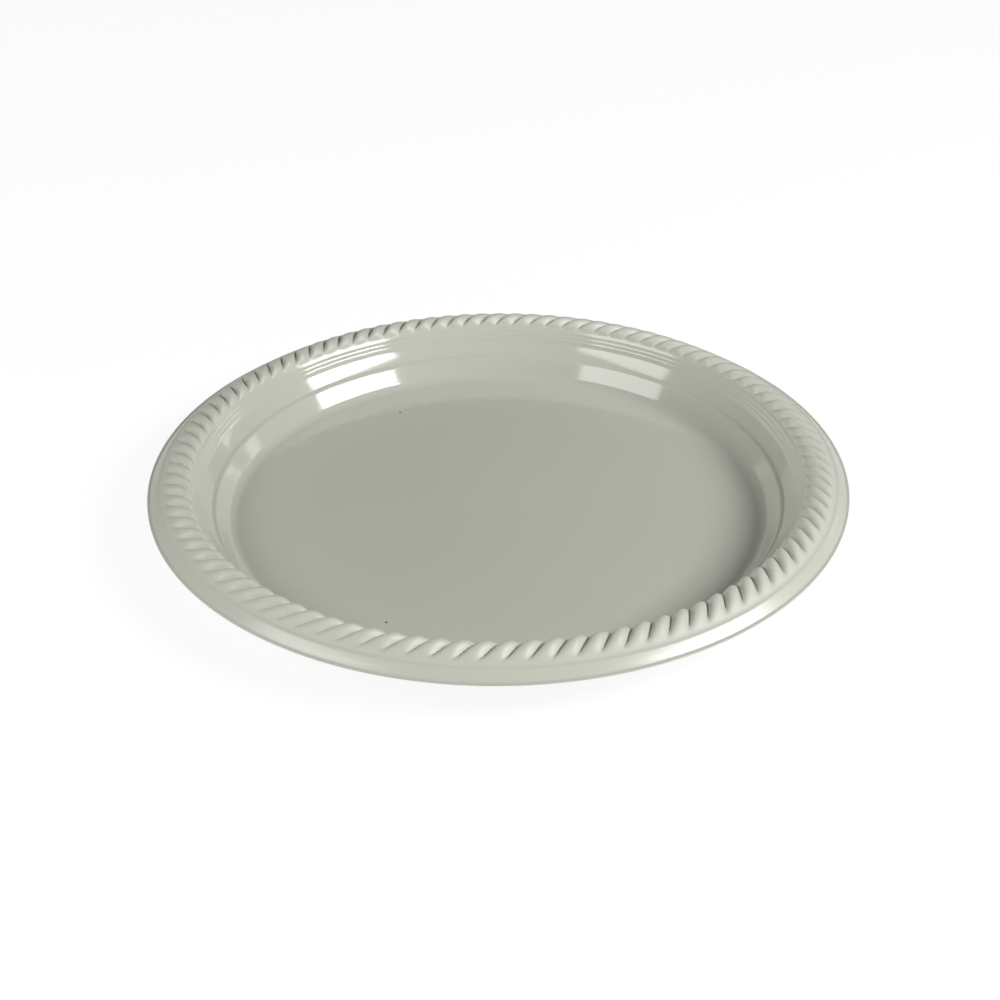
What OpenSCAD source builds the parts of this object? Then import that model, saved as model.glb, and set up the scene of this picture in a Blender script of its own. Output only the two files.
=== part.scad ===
// Disposable plastic plate, one thermoformed sheet of glossy polystyrene.
// Millimetres, +Z up. The origin is the centre of the base, on the surface it stands on.

/* [Sheet] */
// Thickness of the formed sheet
sheet_t = 0.5; // [0.3:0.05:0.9]

/* [Rim] */
// Diameter of the plate over its lip
plate_d = 220; // [180:1:270]
// Height of the plate from the table to the crest of the rope
plate_h = 19.7; // [15:0.1:26]
// Height of the lip's underside below the crest of the rope
lip_drop = 6.2; // [5:0.1:8]
// Width of the flat lip around the cut edge
lip_w = 0.8; // [0.6:0.1:1.6]
// Width of the skirt, from the lip in to the ridge
skirt_w = 2.5; // [2:0.1:5]
// Height of the ridge above the lip
skirt_h = 2.2; // [1.2:0.1:3]
// How far the skirt swells out beyond a straight slope
skirt_bulge = 0.05; // [0:0.05:0.6]

/* [Rope] */
// Number of flutes around the rope
flute_count = 100; // [60:1:105]
// Width of the rope band, from its outer end in to the collar
rope_w = 8.6; // [6:0.1:11]
// Width of the smooth strip between the ridge and the rope
rope_gap = 1.7; // [0.9:0.1:3]
// Height of the rope's outer end above the ridge
rope_foot = 0.3; // [0.1:0.1:1]
// Depth of the flutes at the crown
flute_depth = 2.1; // [0.5:0.1:2.5]
// How far out the crown lies: 1 is the middle of the band, less is nearer its inner end
rope_skew = 0.66; // [0.5:0.01:1]
// How many flutes each one leans over on its way across the band
flute_lean = 1.2; // [0.4:0.1:1.8]
// Angle from +X to the first valley, in degrees
first_flute = 1.9; // [0:0.1:3.6]

/* [Collar and rings] */
// Width of the smooth collar inside the rope
collar_w = 0.6; // [0.5:0.1:3]
// Height that the collar drops from the rope
collar_h = 0.75; // [0.6:0.05:3]
// Number of fine rings
ring_count = 3; // [1:1:4]
// Distance from one ring to the next, up the wall
ring_pitch = 1.45; // [1.2:0.05:2]
// Height of a ring above the wall
ring_h = 0.08; // [0.05:0.01:0.3]
// Width of a ring
ring_w = 0.7; // [0.5:0.05:1]
// Slope of the ringed band, in degrees from level
ring_slope = 63; // [50:1:75]

/* [Wall] */
// Width of the upper wall band
upper_wall_w = 2.9; // [2:0.1:8]
// Height of the stacking shoulder above the table
shoulder_z = 7.3; // [4:0.1:9]
// Width of the stacking shoulder
shoulder_w = 1.3; // [0.8:0.1:3]
// Rise of the stacking shoulder across its width
shoulder_rise = 0.45; // [0:0.05:0.8]
// Width of the lower wall band
lower_wall_w = 4.2; // [2.5:0.1:12]
// Radius where the lower wall meets the floor
floor_fillet = 4.2; // [2:0.1:6]
// Radius where the shoulder turns down into the lower wall
wall_r = 2.5; // [1:0.1:4]
// Radius of the small corners of the sheet
corner_r = 0.9; // [0.6:0.1:1.2]

/* [Hidden] */
$fn = 360;

plate_color = "#dcddd5";

// Points along an arc or a rounded corner
arc_steps = 5;

// Each end of the rope narrows to an edge inside the smooth sheet beside it: how deep that edge lies,
// where the rope comes out of the sheet, and how far it lies below the sheet's skin there
joint_in = 0.6;
joint_out = 0.15;
joint_sink = 0.05;

// Radii, from the lip inwards
lip_r = plate_d / 2;
ridge_r = lip_r - lip_w - skirt_w;
rope_out_r = ridge_r - rope_gap;
rope_in_r = rope_out_r - rope_w;
collar_r = rope_in_r - collar_w;
ring_band = ring_pitch * (ring_count + 0.3);
ring_foot_r = collar_r - ring_band * cos(ring_slope);
shoulder_r = ring_foot_r - upper_wall_w;
lower_wall_r = shoulder_r - shoulder_w;
floor_r = lower_wall_r - lower_wall_w;

// Heights, from the table. Both ends of the rope lie at rope_out_z.
lip_z = plate_h - lip_drop;
ridge_z = lip_z + sheet_t + skirt_h;
rope_out_z = ridge_z + rope_foot;
collar_z = rope_out_z - collar_h;
ring_foot_z = collar_z - ring_band * sin(ring_slope);
shoulder_top_z = shoulder_z + shoulder_rise;
crown_rise = plate_h - rope_out_z;

// Vector helpers in the plane of the section, where x is the radius and y the height
function unit(v) = v / norm(v);
function left_of(v) = [-v[1], v[0]];
function lerp(a, b, k) = a + (b - a) * k;
function reversed(v) = [for (i = [len(v) - 1:-1:0]) v[i]];

// A corner at b, between a and c, rounded to radius r
function rounded(a, b, c, r) =
    let (
        u = unit(a - b),
        v = unit(c - b),
        half = acos(u * v) / 2,
        reach = min(r / tan(half), 0.45 * norm(a - b), 0.45 * norm(c - b)),
        rr = reach * tan(half),
        centre = b + unit(u + v) * rr / sin(half),
        p = b + u * reach - centre,
        q = b + v * reach - centre,
        turn = acos(max(-1, min(1, unit(p) * unit(q)))),
        way = p[0] * q[1] - p[1] * q[0] < 0 ? -1 : 1
    )
    [for (i = [0:arc_steps])
        let (w = way * turn * i / arc_steps)
        centre + [p[0] * cos(w) - p[1] * sin(w), p[0] * sin(w) + p[1] * cos(w)]];

// The sheet under a line of points: the line, and a copy of it one sheet thickness to its right
function below(path, t) =
    [for (i = [0:len(path) - 1])
        let (
            into = i == 0 ? unit(path[1] - path[0]) : unit(path[i] - path[i - 1]),
            out = i == len(path) - 1 ? into : unit(path[i + 1] - path[i]),
            n = unit(left_of(into) + left_of(out))
        )
        path[i] - n * t / (n * left_of(into))];

module sheet(path) {
    rotate_extrude()
        polygon(concat(path, reversed(below(path, sheet_t))));
}

// Section of the dish, from the centre of the floor out to the collar
floor_corner = [floor_r, sheet_t];
wall_corner = [lower_wall_r, shoulder_z];
shoulder_corner = [shoulder_r, shoulder_top_z];
ring_foot = [ring_foot_r, ring_foot_z];
collar_corner = [collar_r, collar_z];
rope_in = [rope_in_r, rope_out_z];
ring_dir = unit(collar_corner - ring_foot);
collar_dir = unit(rope_in - collar_corner);

function ring_points(i) =
    let (mid = ring_foot + ring_dir * ring_pitch * (i + 1))
    [
        mid - ring_dir * ring_w / 2,
        mid - ring_dir * ring_w / 6 + left_of(ring_dir) * ring_h,
        mid + ring_dir * ring_w / 6 + left_of(ring_dir) * ring_h,
        mid + ring_dir * ring_w / 2
    ];

dish_path = concat(
    [[0, sheet_t]],
    rounded([0, sheet_t], floor_corner, wall_corner, floor_fillet),
    rounded(floor_corner, wall_corner, shoulder_corner, wall_r),
    rounded(wall_corner, shoulder_corner, ring_foot, corner_r),
    [ring_foot],
    [for (i = [0:ring_count - 1]) each ring_points(i)],
    [collar_corner, rope_in]
);

// Section of the skirt, from the rope out to the cut edge
rope_out = [rope_out_r, rope_out_z];
ridge = [ridge_r, ridge_z];
skirt_foot = [lip_r - lip_w, lip_z + sheet_t];
gap_dir = unit(ridge - rope_out);

skirt_path = concat(
    [rope_out, ridge],
    [for (i = [1:arc_steps - 1])
        let (k = i / arc_steps)
        lerp(ridge, skirt_foot, k)
            + left_of(unit(skirt_foot - ridge)) * skirt_bulge * 4 * k * (1 - k)],
    [skirt_foot, [lip_r, lip_z + sheet_t]]
);

// The rope: u runs across the band from its inner end (0) to its outer end (1), and each point of the
// wave is a share of the way round one flute, and a height from the valley (0) to the crest (1)
flute_wave = [[0, 0], [0.4, 1], [0.6, 1]];
top_rows = [0, 0.05, 0.15, 0.35, 0.6, 0.85, 1];
bottom_rows = [0, 0.15, 0.35, 0.85, 1];
flute_steps = len(flute_wave);
around = flute_count * flute_steps;

function rope_height(u, w) =
    let (
        s = sin(180 * pow(u, rope_skew)),
        crest = crown_rise * pow(s, 0.75),
        valley = (crown_rise - flute_depth) * pow(s, 1.2)
    )
    lerp(valley, crest, w);

function rope_line(u) = lerp(rope_in + collar_dir * joint_out, rope_out - gap_dir * joint_out, u);
function rope_point(u, w) = rope_line(u) + [0, rope_height(u, w)];

// Direction across the band: along the sheet at either end, and between them along the rope's own slope
function rope_dir(u) =
    u == 0 ? collar_dir :
    u == 1 ? gap_dir :
    unit(rope_point(u + 0.02, 0.6) - rope_point(u - 0.02, 0.6));

// A point on top of the rope, or one sheet thickness under it
function rope_skin(u, w, under) =
    let (sink = u == 0 || u == 1 ? joint_sink : 0)
    rope_point(u, w) - left_of(rope_dir(u)) * (under ? sheet_t - sink : sink);

function turned(p, u, i) =
    let (a = first_flute + 360 / flute_count
        * (floor(i / flute_steps) + flute_wave[i % flute_steps][0] + flute_lean * (0.5 - u)))
    [p[0] * cos(a), p[0] * sin(a), p[1]];

function row(u, under) =
    [for (i = [0:around - 1]) turned(rope_skin(u, flute_wave[i % flute_steps][1], under), u, i)];

// The edge that one end of the rope narrows to, halfway down the sheet
function edge_row(u, end, dir) =
    let (p = end - dir * joint_in - left_of(dir) * sheet_t / 2)
    [for (i = [0:around - 1]) turned(p, u, i)];

// Two triangles between neighbouring rows, split along the shorter diagonal. That one follows the lean of
// the flutes, so the two skins fold along the same lines and stay a sheet thickness apart.
function pair(a, b, c, d, outwards) =
    outwards ? [[a, b, c], [a, c, d]] : [[b, c, d], [b, d, a]];

module rope() {
    rows = concat(
        [edge_row(0, rope_in, collar_dir)],
        [for (u = top_rows) row(u, false)],
        [edge_row(1, rope_out, -gap_dir)],
        [for (u = reversed(bottom_rows)) row(u, true)]
    );
    n = len(rows);
    polyhedron(
        points = [for (r = rows) each r],
        faces = [for (j = [0:n - 1], i = [0:around - 1])
            let (k = (j + 1) % n, m = (i + 1) % around)
            each pair(j * around + i, j * around + m, k * around + m, k * around + i, j <= len(top_rows))]
    );
}

module plate() {
    color(plate_color) {
        sheet(dish_path);
        sheet(skirt_path);
        rope();
    }
}

plate();
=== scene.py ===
import math

import bmesh
import bpy
from mathutils import Matrix, Vector


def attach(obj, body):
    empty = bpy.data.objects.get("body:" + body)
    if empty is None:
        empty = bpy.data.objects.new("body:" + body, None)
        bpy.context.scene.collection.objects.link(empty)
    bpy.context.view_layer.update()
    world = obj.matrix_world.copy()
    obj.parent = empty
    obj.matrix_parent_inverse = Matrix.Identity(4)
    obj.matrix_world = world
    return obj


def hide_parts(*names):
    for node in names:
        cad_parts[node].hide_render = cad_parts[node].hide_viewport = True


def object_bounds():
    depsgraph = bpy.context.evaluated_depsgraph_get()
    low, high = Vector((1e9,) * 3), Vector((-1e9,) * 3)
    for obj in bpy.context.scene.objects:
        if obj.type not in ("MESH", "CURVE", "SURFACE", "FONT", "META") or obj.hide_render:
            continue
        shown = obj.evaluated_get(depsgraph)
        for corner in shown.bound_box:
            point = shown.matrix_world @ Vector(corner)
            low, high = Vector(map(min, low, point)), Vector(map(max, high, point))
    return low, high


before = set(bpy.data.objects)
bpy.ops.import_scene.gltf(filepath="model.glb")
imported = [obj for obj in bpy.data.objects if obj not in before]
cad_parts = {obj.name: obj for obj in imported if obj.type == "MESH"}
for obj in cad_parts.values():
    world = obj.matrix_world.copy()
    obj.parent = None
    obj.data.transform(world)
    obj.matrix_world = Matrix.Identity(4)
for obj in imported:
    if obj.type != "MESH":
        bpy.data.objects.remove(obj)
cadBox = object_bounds()
mm = 0.001


# one function for every shader node: kind, its settings by name, and what feeds its inputs
def addNode(tree, kind, links=None, **settings):
    node = tree.nodes.new(kind)
    for name, value in settings.items():
        if name in node.inputs:
            node.inputs[name].default_value = value
        else:
            setattr(node, name, value)
    for name, source in (links or {}).items():
        tree.links.new(source, node.inputs[name])
    return node


def linearColor(hexText):
    channels = [int(hexText[i:i + 2], 16) / 255 for i in (1, 3, 5)]
    linear = [c / 12.92 if c <= 0.04045 else ((c + 0.055) / 1.055) ** 2.4 for c in channels]
    return (*linear, 1.0)


def addObject(name, bm):
    mesh = bpy.data.meshes.new(name)
    bm.to_mesh(mesh)
    bm.free()
    obj = bpy.data.objects.new(name, mesh)
    bpy.context.scene.collection.objects.link(obj)
    return obj


# camera

cameraSettings = {
    "lens": 58.39,          # mm on a 36 mm sensor
    "distance": 517.0,      # mm from the middle of the rim
    "elevation": 31.11,     # degrees above the rim's plane
    "roll": -0.355,         # degrees
    "shift": (0.0019, -0.0316),
    "aimHeight": 13.5,      # mm, the underside of the lip
}


def makeCamera(settings):
    data = bpy.data.cameras.new("camera")
    data.lens = settings["lens"]
    data.sensor_width = 36
    data.shift_x, data.shift_y = settings["shift"]
    camera = bpy.data.objects.new("camera", data)
    bpy.context.scene.collection.objects.link(camera)
    angle = math.radians(settings["elevation"])
    away = Vector((0, -math.cos(angle), math.sin(angle)))
    place = Vector((0, 0, settings["aimHeight"])) + away * settings["distance"]
    turn = away.to_track_quat("Z", "Y").to_matrix() @ Matrix.Rotation(math.radians(settings["roll"]), 3, "Z")
    camera.matrix_world = Matrix.Translation(place * mm) @ turn.to_4x4()
    bpy.context.scene.camera = camera


makeCamera(cameraSettings)
print("camera placed")


# plate: one sheet, spun from its section, with the rope pressed into its rim afterwards

plateShape = {
    "radius": cadBox[1][0] / mm,
    "height": cadBox[1][2] / mm,
    "sheet": 0.5,
    "lipDrop": 6.2,         # lip's underside, below the crest of the rope
    "lipWidth": 0.8,
    "skirtWidth": 2.5,
    "skirtHeight": 2.2,
    "skirtBulge": 0.05,
    "bulgeRadius": 2.5,
    "edgeRadius": 0.25,     # rounds the ridge and the foot of the skirt
    "ropeGap": 0.6,
    "ropeWidth": 9.7,
    "ropeFoot": 0.3,
    "ropeRows": (14, 7),    # across the top of the rope, and under it
    "ropeUnder": 0.56,      # the rope's under skin lies this far below its top
    "flutes": 100,
    "fluteDepth": 2.2,
    "fluteLean": 1.2,
    "firstFlute": 1.9,      # degrees from +X to the first valley
    "ropeSkew": 0.61,       # below 1 the rope is highest nearer its inner end
    "crestPower": 0.75,     # below 1 the crests rise steeply from their ends
    "valleyPower": 1.2,     # above 1 the valleys stay low for longer
    "flutePower": 1.35,     # 1 is a plain zigzag, above 1 the crests are broad and the valleys narrow
    "flutePinch": 2.0,      # how much narrower the valleys get on their way out
    "fluteEnd": (0.68, 0.84),   # the valleys run out between these shares of the band's width
    "endSoftness": 0.5,     # how softly the rope's outer end meets the smooth strip
    "collarWidth": 0.6,
    "collarHeight": 0.75,
    "rings": 3,
    "ringPitch": 1.45,
    "ringMargin": 0.3,      # share of a pitch left plain above the last ring
    "ringHeight": 0.05,
    "ringWidth": 0.7,
    "ringRadius": 0.6,      # rounds the top of a ring
    "ringSlope": 63,
    "upperWallWidth": 2.9,
    "shoulderHeight": 7.3,
    "shoulderWidth": 1.25,
    "shoulderRise": 0.5,
    "wallRadius": 2.5,      # where the shoulder turns down into the lower wall
    "lowerWallWidth": 4.25,
    "floorFillet": 4.2,
    "cornerRadius": 0.9,
    "roundedSteps": (6, 3),     # segments round a large corner, and round a small one
    "largeCorner": 2.0,
    "cutShare": 0.42,       # a corner is cut back by no more than this share of its shorter side
    "creaseAngle": 50,      # degrees; edges of the lip that turn more stay sharp
    # where the columns of the mesh stand across one flute, closest at its valley
    "columns": (0.0, 0.09, 0.2, 0.35, 0.5, 0.65, 0.8, 0.91),
}


def leftOf(v):
    return Vector((-v.y, v.x))


# the line under the sheet: each corner moved one sheet thickness to the right of the way it runs
def underside(corners, sheet):
    moved = []
    for i, (p, rounding) in enumerate(corners):
        into = (p - corners[i - 1][0]).normalized() if i else (corners[1][0] - p).normalized()
        out = (corners[i + 1][0] - p).normalized() if i + 1 < len(corners) else into
        n = (leftOf(into) + leftOf(out)).normalized()
        turning = into.x * out.y - into.y * out.x       # above zero where the sheet turns up
        grown = rounding + sheet * math.copysign(1, turning) if rounding else 0
        moved.append((p - n * sheet / n.dot(leftOf(into)), max(grown, 0.1) if rounding else 0))
    return moved


# corners of the dish's section and of the skirt's, each with the radius that rounds it
def sectionCorners(s):
    lip = Vector((s["radius"], s["height"] - s["lipDrop"] + s["sheet"]))
    skirtFoot = lip - Vector((s["lipWidth"], 0))
    ridge = skirtFoot + Vector((-s["skirtWidth"], s["skirtHeight"]))
    ropeOut = ridge + Vector((-s["ropeGap"], s["ropeFoot"]))
    ropeIn = ropeOut - Vector((s["ropeWidth"], 0))
    collar = ropeIn - Vector((s["collarWidth"], s["collarHeight"]))
    slope = math.radians(s["ringSlope"])
    along = Vector((math.cos(slope), math.sin(slope)))
    ringFoot = collar - along * s["ringPitch"] * (s["rings"] + s["ringMargin"])
    shoulder = Vector((ringFoot.x - s["upperWallWidth"], s["shoulderHeight"] + s["shoulderRise"]))
    wall = shoulder - Vector((s["shoulderWidth"], s["shoulderRise"]))
    floor = Vector((wall.x - s["lowerWallWidth"], s["sheet"]))

    small = s["cornerRadius"]
    dish = [(Vector((0, s["sheet"])), 0), (floor, s["floorFillet"]), (wall, s["wallRadius"]),
            (shoulder, small), (ringFoot, small)]
    rings = []
    for i in range(s["rings"]):
        middle = ringFoot + along * s["ringPitch"] * (i + 1)
        half = along * s["ringWidth"] / 2
        top = middle + leftOf(along) * s["ringHeight"]
        rings += [(middle - half, 0), (top, s["ringRadius"]), (middle + half, 0)]
    rim = [(collar, small), (ropeIn, 0)]
    bulge = leftOf((skirtFoot - ridge).normalized()) * s["skirtBulge"]
    skirt = [(ropeOut, 0), (ridge, s["edgeRadius"]), (ridge.lerp(skirtFoot, 0.5) + bulge, s["bulgeRadius"]),
             (skirtFoot, s["edgeRadius"]), (lip, 0)]
    return dish, rings, rim, skirt


# lift of the rope above the straight line between its ends, at u across the band and at a phase of one flute
def ropeLift(s, u, phase):
    ends = s["height"] - s["lipDrop"] + s["sheet"] + s["skirtHeight"] + s["ropeFoot"]
    rise = s["height"] - ends
    across = math.sin(math.pi * u ** s["ropeSkew"])
    crest = rise * across ** (s["crestPower"] + s["endSoftness"] * u ** 3)
    valley = (rise - s["fluteDepth"]) * across ** s["valleyPower"]
    start, stop = s["fluteEnd"]
    runOut = min(max((stop - u) / (stop - start), 0), 1)
    dip = abs(2 * phase - 1) ** (s["flutePower"] + s["flutePinch"] * u) * runOut
    return crest - max(crest - valley, 0) * dip


def makePlate(s):
    dish, rings, rim, skirt = sectionCorners(s)
    top = dish + rings + rim
    bottom = underside(dish + rim, s["sheet"])
    # rows stand closer together at the ends, where the rope rises fastest
    ropeIn, ropeOut = rim[-1][0], skirt[0][0]
    ropeTop, ropeBottom = [
        [(ropeIn.lerp(ropeOut, (1 - math.cos(math.pi * i / rows)) / 2) - Vector((0, drop)), 0)
         for i in range(1, rows)]
        for rows, drop in zip(s["ropeRows"], (0, s["ropeUnder"]))]
    outline = top + ropeTop + skirt
    outline += list(reversed(bottom + ropeBottom + underside(skirt, s["sheet"])))

    bm = bmesh.new()
    verts = [bm.verts.new((p.x * mm, 0, p.y * mm)) for p, _ in outline]
    for a, b in zip(verts, verts[1:]):
        bm.edges.new((a, b))
    # round the corners: the cut on each side of a corner is its radius times the tangent of half the turn
    for vert, (p, rounding) in zip(verts, outline):
        if not rounding:
            continue
        a, b = [(e.other_vert(vert).co - vert.co) for e in vert.link_edges]
        half = (math.pi - a.angle(b)) / 2
        cut = min(rounding * mm * math.tan(half), s["cutShare"] * a.length, s["cutShare"] * b.length)
        segments = s["roundedSteps"][0 if rounding > s["largeCorner"] else 1]
        bmesh.ops.bevel(bm, geom=[vert], offset=cut, offset_type="OFFSET", affect="VERTICES",
                        segments=segments, profile=0.5, material=-1)
    # one flute's share of the circle is spun, and then repeated all the way round
    share = 2 * math.pi / s["flutes"]
    bmesh.ops.spin(bm, geom=bm.verts[:] + bm.edges[:], cent=(0, 0, 0), axis=(0, 0, 1),
                   angle=share, steps=len(s["columns"]))
    first = bm.verts[:] + bm.edges[:] + bm.faces[:]
    for i in range(1, s["flutes"]):
        copy = bmesh.ops.duplicate(bm, geom=first)["geom"]
        bmesh.ops.rotate(bm, verts=[v for v in copy if isinstance(v, bmesh.types.BMVert)],
                         matrix=Matrix.Rotation(share * i, 3, "Z"))
    bmesh.ops.remove_doubles(bm, verts=bm.verts, dist=1e-6)
    bmesh.ops.dissolve_degenerate(bm, edges=bm.edges, dist=1e-6)
    bmesh.ops.recalc_face_normals(bm, faces=bm.faces)

    # press the rope: each column moves to its place across a flute, and leans over on its way across the band
    count = s["flutes"] * len(s["columns"])
    for v in bm.verts:
        r = math.hypot(v.co.x, v.co.y) / mm
        if r < 1:
            continue
        k = round(math.atan2(v.co.y, v.co.x) / (2 * math.pi) * count) % count
        phase = s["columns"][k % len(s["columns"])]
        u = min(max((r - ropeIn.x) / (ropeOut.x - ropeIn.x), 0), 1)
        place = k // len(s["columns"]) + phase + s["fluteLean"] * (0.5 - u)
        angle = place * 2 * math.pi / s["flutes"] + math.radians(s["firstFlute"])
        lift = ropeLift(s, u, phase) if 0 < u < 1 else 0
        v.co = (r * mm * math.cos(angle), r * mm * math.sin(angle), v.co.z + lift * mm)
    for f in bm.faces:
        f.smooth = True
    for e in bm.edges:
        turns = len(e.link_faces) == 2 and e.calc_face_angle() > math.radians(s["creaseAngle"])
        onLip = math.hypot(e.verts[0].co.x, e.verts[0].co.y) > (s["radius"] - 0.1) * mm
        e.smooth = not (turns and onLip)
    print("plate:", len(bm.verts), "points,", len(bm.faces), "faces")
    return addObject("formedPlate", bm), ropeIn.x, ropeOut.x


# polystyrene sheet, thermoformed and glossy: a clean sharp gloss over an off-white body, which turns satin
# over the rope, and a surface that ripples very slightly where the hot sheet was drawn

plasticLook = {
    "body": "#d0d1c6",
    "thin": "#cccfc2",
    "roughness": 0.09,
    "ropeRoughness": 0.45,
    "skirtSatin": 0.42,     # how satin the skirt is, where the rope is 1 and the dish 0
    "innerFade": (-0.6, 0.4),   # mm from the rope's inner end, where gloss turns to satin
    "outerFade": (0.1, -0.9),   # mm from its outer end, where the satin comes in from the skirt
    "ior": 1.59,
    "rippleScale": 9.0,     # mm from one ripple to the next
    "rippleHeight": 0.006,  # mm
    "orangePeel": 1.1,      # mm
    "peelHeight": 0.0008,   # mm
    "cloudScale": 45.0,     # mm across one patch of slightly different tone
    "specks": ((-34.6, 60.4, 0.5), (-32.6, -64.2, 0.5), (-71.3, 73.3, 19.2)),   # mm, x y z
    "speckRadius": 0.6,
    "speckColor": "#6c6b60",
}


def polystyrene(look, ropeInner, ropeOuter):
    material = bpy.data.materials.new("polystyreneThermoformed")
    material.use_nodes = True
    tree = material.node_tree
    tree.nodes.clear()
    where = addNode(tree, "ShaderNodeTexCoord").outputs["Object"]
    cloud = addNode(tree, "ShaderNodeTexNoise", {"Vector": where},
                    Scale=1 / (look["cloudScale"] * mm), Detail=3.0)
    tone = addNode(tree, "ShaderNodeMix", {"Factor": cloud.outputs["Fac"]}, data_type="RGBA")
    tone.inputs[6].default_value = linearColor(look["body"])
    tone.inputs[7].default_value = linearColor(look["thin"])
    color = tone.outputs[2]
    for place in look["specks"]:
        offset = addNode(tree, "ShaderNodeVectorMath", {0: where}, operation="DISTANCE")
        offset.inputs[1].default_value = Vector(place) * mm
        mask = addNode(tree, "ShaderNodeMapRange", {"Value": offset.outputs["Value"]},
                       interpolation_type="SMOOTHSTEP")
        mask.inputs["From Min"].default_value = look["speckRadius"] * 0.4 * mm
        mask.inputs["From Max"].default_value = look["speckRadius"] * mm
        mask.inputs["To Min"].default_value = 1.0
        mask.inputs["To Max"].default_value = 0.0
        dirt = addNode(tree, "ShaderNodeMix", {"Factor": mask.outputs["Result"]}, data_type="RGBA")
        tree.links.new(color, dirt.inputs[6])
        dirt.inputs[7].default_value = linearColor(look["speckColor"])
        color = dirt.outputs[2]

    ripple = addNode(tree, "ShaderNodeTexNoise", {"Vector": where},
                     Scale=1 / (look["rippleScale"] * mm), Detail=1.0)
    peel = addNode(tree, "ShaderNodeTexNoise", {"Vector": where},
                   Scale=1 / (look["orangePeel"] * mm), Detail=2.0)
    coarse = addNode(tree, "ShaderNodeBump", {"Height": ripple.outputs["Fac"]},
                     Distance=look["rippleHeight"] * mm, Strength=1.0)
    fine = addNode(tree, "ShaderNodeBump", {"Height": peel.outputs["Fac"], "Normal": coarse.outputs["Normal"]},
                   Distance=look["peelHeight"] * mm, Strength=1.0)
    # the sheet is drawn furthest over the rope and the skirt, which leaves them satin
    flat = addNode(tree, "ShaderNodeVectorMath", {0: where}, operation="MULTIPLY")
    flat.inputs[1].default_value = (1, 1, 0)
    radius = addNode(tree, "ShaderNodeVectorMath", {0: flat.outputs[0]}, operation="LENGTH")
    fades = []
    edges = ((ropeInner, look["innerFade"], 0), (ropeOuter, look["outerFade"], look["skirtSatin"]))
    for end, fade, level in edges:
        ramp = addNode(tree, "ShaderNodeMapRange", {"Value": radius.outputs["Value"]},
                       interpolation_type="SMOOTHSTEP")
        ramp.inputs["From Min"].default_value = (end + fade[0]) * mm
        ramp.inputs["From Max"].default_value = (end + fade[1]) * mm
        ramp.inputs["To Min"].default_value = level
        fades.append(ramp.outputs["Result"])
    satin = addNode(tree, "ShaderNodeMath", {0: fades[0], 1: fades[1]}, operation="MULTIPLY")
    rough = addNode(tree, "ShaderNodeMapRange", {"Value": satin.outputs[0]})
    rough.inputs["To Min"].default_value = look["roughness"]
    rough.inputs["To Max"].default_value = look["ropeRoughness"]
    shader = addNode(tree, "ShaderNodeBsdfPrincipled", {
        "Base Color": color,
        "Normal": fine.outputs["Normal"],
        "Roughness": rough.outputs["Result"],
    }, IOR=look["ior"])
    addNode(tree, "ShaderNodeOutputMaterial", {"Surface": shader.outputs["BSDF"]})
    return material


plate, ropeInner, ropeOuter = makePlate(plateShape)
plate.data.materials.append(polystyrene(plasticLook, ropeInner, ropeOuter))
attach(plate, "root")
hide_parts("plate")
print("plate made")


# floor: a plain white sweep that the camera sees as white, with the plate's soft shadow left on it

stageSettings = {
    "size": 8000.0,          # mm
    "floorColor": "#e6e6e4",
    "cameraDiffuse": 0.15,  # how much of the shadow the camera sees
    "cameraGlow": 0.9,      # level of the far floor and of the backdrop, to the camera
    "worldColor": "#ffffff",
    "worldStrength": 0.02,
}


def makeFloor(settings):
    bm = bmesh.new()
    bmesh.ops.create_grid(bm, x_segments=1, y_segments=1, size=settings["size"] / 2 * mm)
    floor = addObject("floor", bm)
    material = bpy.data.materials.new("paperSweep")
    material.use_nodes = True
    tree = material.node_tree
    tree.nodes.clear()
    rays = addNode(tree, "ShaderNodeLightPath").outputs
    plain = addNode(tree, "ShaderNodeBsdfDiffuse", Color=linearColor(settings["floorColor"]))
    level = settings["cameraDiffuse"]
    dim = addNode(tree, "ShaderNodeBsdfDiffuse", Color=(level, level, level, 1))
    glow = addNode(tree, "ShaderNodeEmission", Color=(1, 1, 1, 1), Strength=settings["cameraGlow"])
    lit = addNode(tree, "ShaderNodeAddShader", {0: dim.outputs[0], 1: glow.outputs[0]})
    mixed = addNode(tree, "ShaderNodeMixShader",
                    {0: rays["Is Camera Ray"], 1: plain.outputs[0], 2: lit.outputs[0]})
    addNode(tree, "ShaderNodeOutputMaterial", {"Surface": mixed.outputs[0]})
    floor.data.materials.append(material)


def makeWorld(settings):
    world = bpy.data.worlds.new("studio")
    bpy.context.scene.world = world
    world.use_nodes = True
    tree = world.node_tree
    tree.nodes.clear()
    rays = addNode(tree, "ShaderNodeLightPath").outputs
    room = addNode(tree, "ShaderNodeBackground", Color=linearColor(settings["worldColor"]),
                   Strength=settings["worldStrength"])
    white = addNode(tree, "ShaderNodeBackground", Color=(1, 1, 1, 1), Strength=settings["cameraGlow"])
    mixed = addNode(tree, "ShaderNodeMixShader",
                    {0: rays["Is Camera Ray"], 1: room.outputs[0], 2: white.outputs[0]})
    addNode(tree, "ShaderNodeOutputWorld", {"Surface": mixed.outputs[0]})


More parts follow.
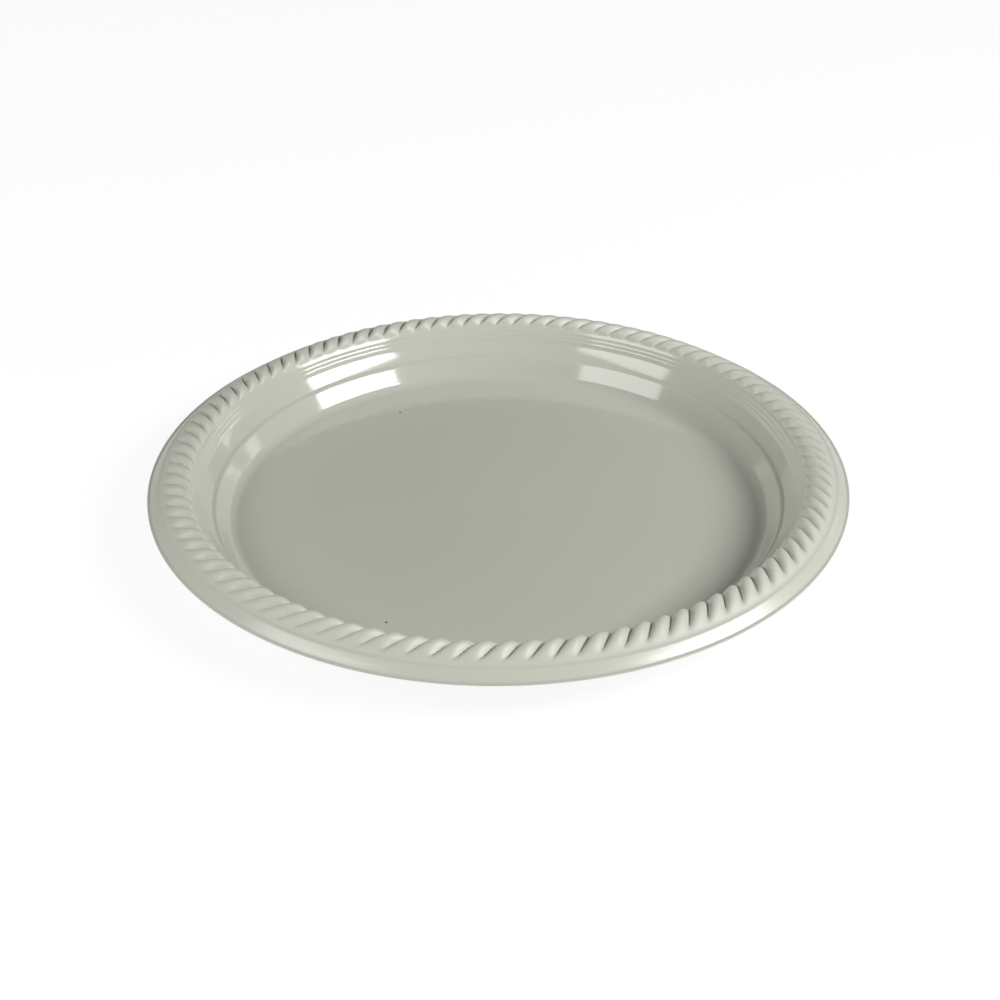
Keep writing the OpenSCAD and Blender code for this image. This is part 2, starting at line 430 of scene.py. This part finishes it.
# lamps: each soft box stands where its reflection in the plate says; azimuth is counted from the right
lamps = {
    "softBoxRight": {"azimuth": -19, "elevation": 38, "roll": -14, "distance": 1000, "size": (570, 330),
                     "radiance": 14.2, "color": "#fefffe"},
    "softBoxLeft": {"azimuth": -152, "elevation": 40, "roll": 8, "distance": 1000, "size": (560, 330),
                    "radiance": 4.6, "color": "#fffdfc"},
    "sideCard": {"azimuth": 38, "elevation": 14, "roll": 0, "distance": 1000, "size": (260, 70),
                 "radiance": 2.2, "color": "#ffffff"},
    # low cards that only fill the walls, hidden from reflections
    "fillFront": {"azimuth": -90, "elevation": 8, "roll": 0, "distance": 1100, "size": (1400, 220),
                  "radiance": 2.1, "color": "#ffffff", "mirrored": False},
    "fillLeft": {"azimuth": 180, "elevation": 8, "roll": 0, "distance": 1100, "size": (1400, 220),
                 "radiance": 5.6, "color": "#fffbfc", "mirrored": False},
    "fillBack": {"azimuth": 90, "elevation": 8, "roll": 0, "distance": 1100, "size": (1400, 220),
                 "radiance": 1.5, "color": "#ffffff", "mirrored": False},
}


def makeLamp(name, lamp):
    data = bpy.data.lights.new(name, "AREA")
    data.shape = "RECTANGLE"
    data.size, data.size_y = [side * mm for side in lamp["size"]]
    data.energy = lamp["radiance"] * math.pi * data.size * data.size_y
    data.color = linearColor(lamp["color"])[:3]
    obj = bpy.data.objects.new(name, data)
    bpy.context.scene.collection.objects.link(obj)
    azimuth, elevation = math.radians(lamp["azimuth"]), math.radians(lamp["elevation"])
    away = Vector((math.cos(azimuth) * math.cos(elevation), math.sin(azimuth) * math.cos(elevation),
                   math.sin(elevation)))
    roll = Matrix.Rotation(math.radians(lamp["roll"]), 4, "Z")
    turn = away.to_track_quat("Z", "Y").to_matrix().to_4x4() @ roll
    obj.matrix_world = Matrix.Translation(away * lamp["distance"] * mm) @ turn
    obj.visible_glossy = lamp.get("mirrored", True)


makeFloor(stageSettings)
makeWorld(stageSettings)
for lampName, lamp in lamps.items():
    makeLamp(lampName, lamp)
bpy.context.scene.view_settings.view_transform = "Standard"
print("stage and lamps made")
